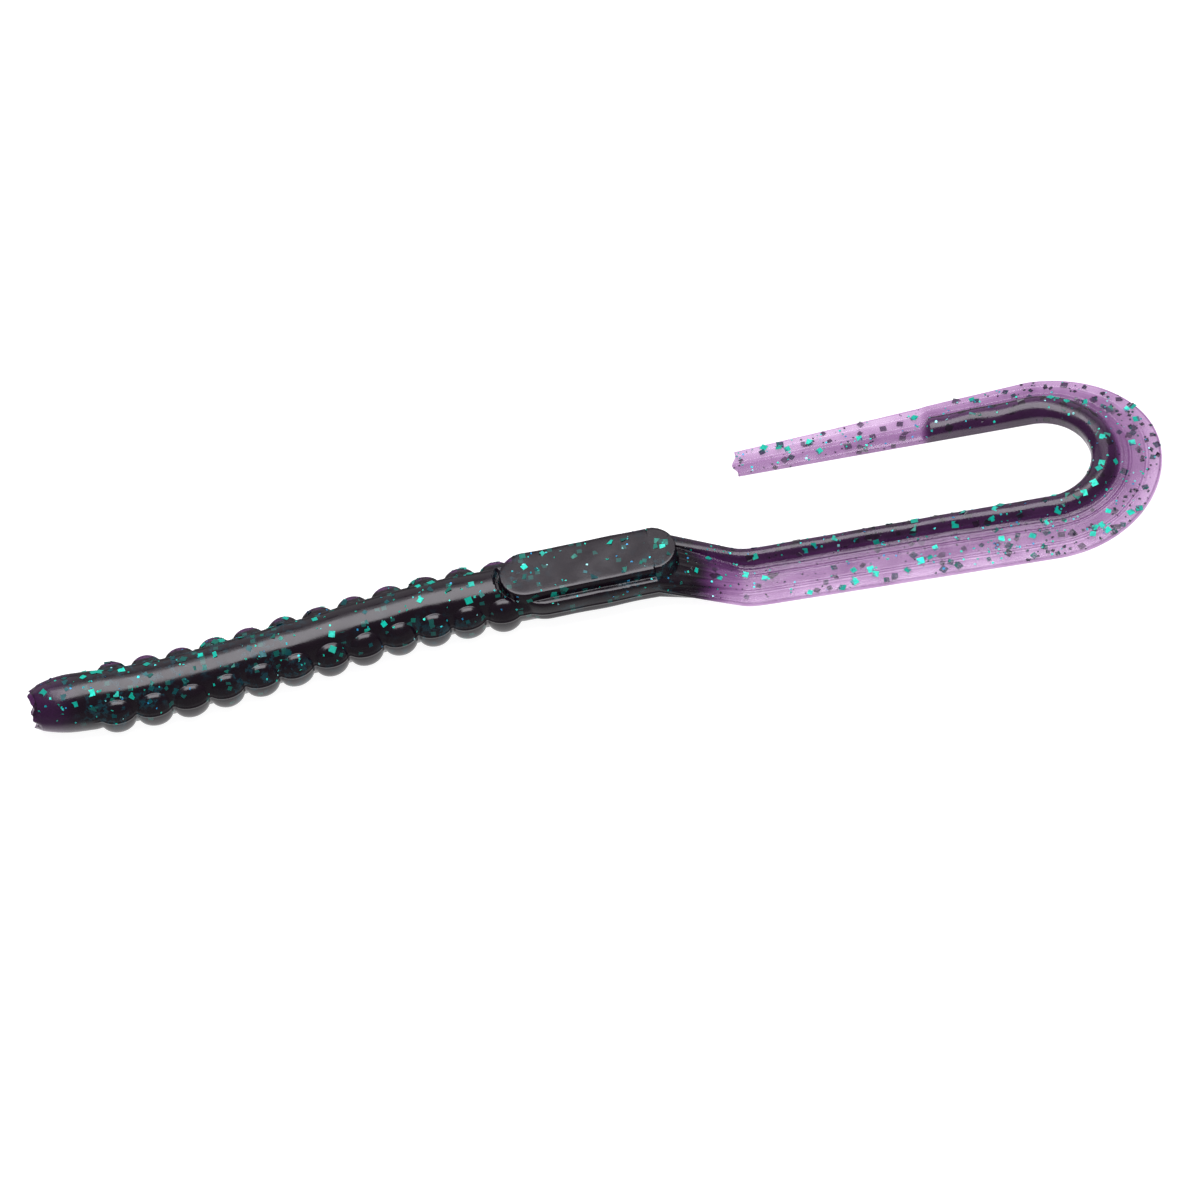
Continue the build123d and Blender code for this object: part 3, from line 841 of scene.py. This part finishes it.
# Painted shadows: grey flakes low in the tail's web, standing in for the shadows the glitter casts
# on the floor
FLAKE_SHADOW_GREYS = [(0.16, 0.16, 0.17), (0.12, 0.13, 0.14), (0.08, 0.09, 0.10)]
DARK = [(0.01, 0.02, 0.025), (0.02, 0.01, 0.03), (0.0, 0.03, 0.035)]
BODY = (2, 100)
TAIL = (100, 400)
SCATTERS = (
    # how many, from and to along the skin, sizes, colours, depth, columns of the section, lean
    (38, BODY, (0.75, 1.1), TURQUOISE, -0.02, (16, TOP_STEPS - 24), 0.12),
    (110, BODY, (0.5, 1.0), DIM_TEAL, -0.01, (0, TOP_STEPS - 14), 0.12),
    (300, (1, 100), (0.2, 0.36), SPARKLE + TURQUOISE, -0.01, (0, TOP_STEPS), 0.3),
    (64, (100.5, 400), (0.75, 1.1), TURQUOISE, -0.015, (18, TOP_STEPS - 14), 0.12),
    # painted flake shadows, lying lower in the web
    (120, (102, 400), (0.6, 1.15), FLAKE_SHADOW_GREYS, 0.12, (4, TOP_STEPS - 14), 0.12),
    (60, (120, 400), (0.6, 1.1), DIM_TEAL, 0.05, (16, TOP_STEPS - 14), 0.12),
    (300, TAIL, (0.2, 0.36), SPARKLE + TURQUOISE, -0.01, (14, TOP_STEPS - 14), 0.25),
    (420, TAIL, (0.12, 0.32), DARK, 0.02, (4, TOP_STEPS - 8), 0.3),
    (90, (150, 180), (0.25, 0.7), DARK, 0.02, (90, TOP_STEPS - 8), 0.2),
)
LARGE_FLAKE = 0.5  # larger ones stay off the sharply curved places
FLAT_ENOUGH = 0.93
FLAKE_BRIGHTNESS = (0.75, 1.15)
FLAKE_THICKNESS = 0.02
CORNERS = np.array([(-1, -1), (1, -1), (1, 1), (-1, 1)]) / 2
BOX_FACES = [(0, 3, 2, 1), (4, 5, 6, 7), (0, 1, 5, 4), (1, 2, 6, 5), (2, 3, 7, 6), (3, 0, 4, 7)]

down_edge = skin[1:] - skin[:-1]
across_edge = np.roll(skin, -1, axis=1) - skin
cell_area = np.linalg.norm(np.cross(down_edge, across_edge[:-1]), axis=2)
flatness = np.ones(skin.shape[:2])
for shift in ((2, 0), (-2, 0), (0, 3), (0, -3)):
    neighbours = np.roll(normals, shift, axis=(0, 1))
    flatness = np.minimum(flatness, (normals * neighbours).sum(2))
flakes = []  # (distance along, centre, normal, size, colour)


def scatter(count, stretch, sizes, colours, depth, columns, lean):
    """Adds flakes spread evenly over a part of the skin, each leaning a little."""
    weight = cell_area.copy()
    weight[(along[:-1] < stretch[0]) | (along[:-1] > stretch[1])] = 0
    weight[:, : columns[0]] = 0
    weight[:, columns[1] :] = 0
    if sizes[1] > LARGE_FLAKE:
        weight[flatness[:-1] < FLAT_ENOUGH] = 0
    for cell in rng.choice(weight.size, count, p=(weight / weight.sum()).ravel()):
        j, i = divmod(int(cell), ROUND)
        size = rng.uniform(*sizes)
        colour = np.array(colours[rng.integers(len(colours))]) * rng.uniform(*FLAKE_BRIGHTNESS)
        point = skin[j, i] + down_edge[j, i] * rng.random() + across_edge[j, i] * rng.random()
        leaning = normals[j, i] + rng.normal(0, lean, 3)
        leaning = leaning / np.linalg.norm(leaning)
        flakes.append((along[j], point - normals[j, i] * depth, leaning, size, colour))


for settings in SCATTERS:
    scatter(*settings)


def flake_piece(name, start, end):
    """The flakes between two distances along the skin, as one mesh object."""
    points, faces, colours = [], [], []
    for place, middle_point, normal, size, colour in flakes:
        if not start <= place < end:
            continue
        side = np.cross(normal, (0.3, 1, 0.1))
        side /= np.linalg.norm(side)
        other = np.cross(normal, side)
        turn = (place * 37.0) % 6.28
        first = side * math.cos(turn) + other * math.sin(turn)
        second = np.cross(normal, first)
        base = len(points)
        for level in (-0.5, 0.5):
            for u, v in CORNERS * size:
                corner = middle_point + first * u + second * v + normal * level * FLAKE_THICKNESS
                points.append(corner * MM)
                colours.append((*np.clip(colour, 0, 1), 1))
        faces += [tuple(base + k for k in face) for face in BOX_FACES]
    mesh = bpy.data.meshes.new(name)
    mesh.from_pydata([tuple(p) for p in points], [], faces)
    tints = mesh.attributes.new("flake_colour", "FLOAT_COLOR", "POINT")
    tints.data.foreach_set("color", np.array(colours, np.float32).ravel())
    mesh.materials.append(glitter)
    mesh.update()
    return add_object(name, mesh)


for name, start, end, before, after, blend_from, blend_to, slot, nodes in PIECES:
    piece = skin_piece(name, start, end)
    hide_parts(*nodes)
    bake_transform(piece)
    sparkle = flake_piece(name.replace("skin", "flakes"), start, end)
    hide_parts(*FLAKE_NODES[name])
    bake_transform(sparkle)


# Floor: white paper that glows a little, as on a light table, dimmer in far reflections

FLOOR_HALF_SIZE = 2.0
PAPER_GREY = 0.3
PAPER_GLOW = 0.9
REFLECTION_LOSS = 0.85
REFLECTION_FADES_OVER = (0.003, 0.010)

floor_mesh = bpy.data.meshes.new("floor")
floor_corners = [(x * 2 * FLOOR_HALF_SIZE, y * 2 * FLOOR_HALF_SIZE, 0) for x, y in CORNERS]
floor_mesh.from_pydata(floor_corners, [], [(0, 1, 2, 3)])
floor = add_object("floor", floor_mesh)
floor.location = (0.08, 0, cad_box[0].z)
floor_material, floor_tree, floor_output = new_material("white_paper")
path = add_node(floor_tree, "ShaderNodeLightPath")
far = mapped(floor_tree, path.outputs["Ray Length"], *REFLECTION_FADES_OVER)
far_glossy = maths(floor_tree, "MULTIPLY", path.outputs["Is Glossy Ray"], far)
lost = maths(floor_tree, "MULTIPLY", far_glossy, REFLECTION_LOSS)
shown = maths(floor_tree, "SUBTRACT", 1.0, lost)
paper_white = (PAPER_GREY, PAPER_GREY, PAPER_GREY, 1)
paper_colour = mixed_colour(floor_tree, shown, (0, 0, 0, 1), paper_white)
paper = add_node(floor_tree, "ShaderNodeBsdfDiffuse", Color=paper_colour)
strength = maths(floor_tree, "MULTIPLY", shown, PAPER_GLOW)
glow = add_node(floor_tree, "ShaderNodeEmission", Color=(1, 1, 1, 1), Strength=strength)
lit = add_node(floor_tree, "ShaderNodeAddShader", i0=paper.outputs[0], i1=glow.outputs[0])
floor_tree.links.new(lit.outputs[0], floor_output.inputs["Surface"])
floor_mesh.materials.append(floor_material)


# Light

SKY_STRENGTH = 0.12
LIGHT_COLOUR = (0.97, 0.95, 1.0)
AIM = Vector((0.083, 0.010, 0.0))

world = bpy.data.worlds.new("studio")
bpy.context.scene.world = world
world.use_nodes = True
sky = world.node_tree.nodes["Background"]
sky.inputs["Color"].default_value = (1, 1, 1, 1)
sky.inputs["Strength"].default_value = SKY_STRENGTH


def soft_light(name, azimuth, elevation, distance, size, radiance, shiny=True):
    """A rectangular studio light that faces the object.

    Azimuth 0 is behind the object and 180 on the camera's side. A light that isn't shiny shows in
    no reflection.
    """
    light = bpy.data.lights.new(name, "AREA")
    light.shape = "RECTANGLE"
    light.size, light.size_y = size
    light.energy = radiance * math.pi * size[0] * size[1]
    light.color = LIGHT_COLOUR
    lamp = add_object(name, light)
    a, e = math.radians(azimuth), math.radians(elevation)
    away = Vector((math.sin(a) * math.cos(e), math.cos(a) * math.cos(e), math.sin(e)))
    lamp.location = AIM + away * distance
    lamp.rotation_mode = "QUATERNION"
    lamp.rotation_quaternion = away.to_track_quat("Z", "X")
    lamp.visible_glossy = shiny


soft_light("key", 0, 83, 0.5, (0.43, 0.6), 5.0)
soft_light("key_edge", 0, 52.5, 0.5, (0.11, 0.6), 1.1)
soft_light("back", 0, 22, 0.7, (0.45, 1.2), 0.5)
soft_light("fill", 180, 45, 0.8, (0.7, 0.9), 1.2, shiny=False)


# Camera

CAMERA_ELEVATION = 52.0
CAMERA_ROLL = 8.7
FRAME_WIDTH = 178.6 * MM
FRAME_CENTRE = Vector((86.3, 4.15, 0)) * MM
LENS = 400.0
SENSOR = 36.0
camera_data = bpy.data.cameras.new("camera")
camera_data.lens = LENS
camera_data.sensor_width = SENSOR
camera_data.clip_start, camera_data.clip_end = 0.1, 20
camera = add_object("camera", camera_data)
tilt = math.radians(CAMERA_ELEVATION)
roll = math.radians(CAMERA_ROLL)
back = Vector((0, -math.cos(tilt), math.sin(tilt)))
level_up = Vector((0, math.sin(tilt), math.cos(tilt)))
right = Vector((math.cos(roll), 0, 0)) - level_up * math.sin(roll)
up = Vector((math.sin(roll), 0, 0)) + level_up * math.cos(roll)
camera_place = FRAME_CENTRE + back * (FRAME_WIDTH * LENS / SENSOR)
facing = Matrix((right, up, back)).transposed().to_4x4()
camera.matrix_world = Matrix.Translation(camera_place) @ facing
bpy.context.scene.camera = camera

bpy.context.scene.view_settings.view_transform = "Standard"
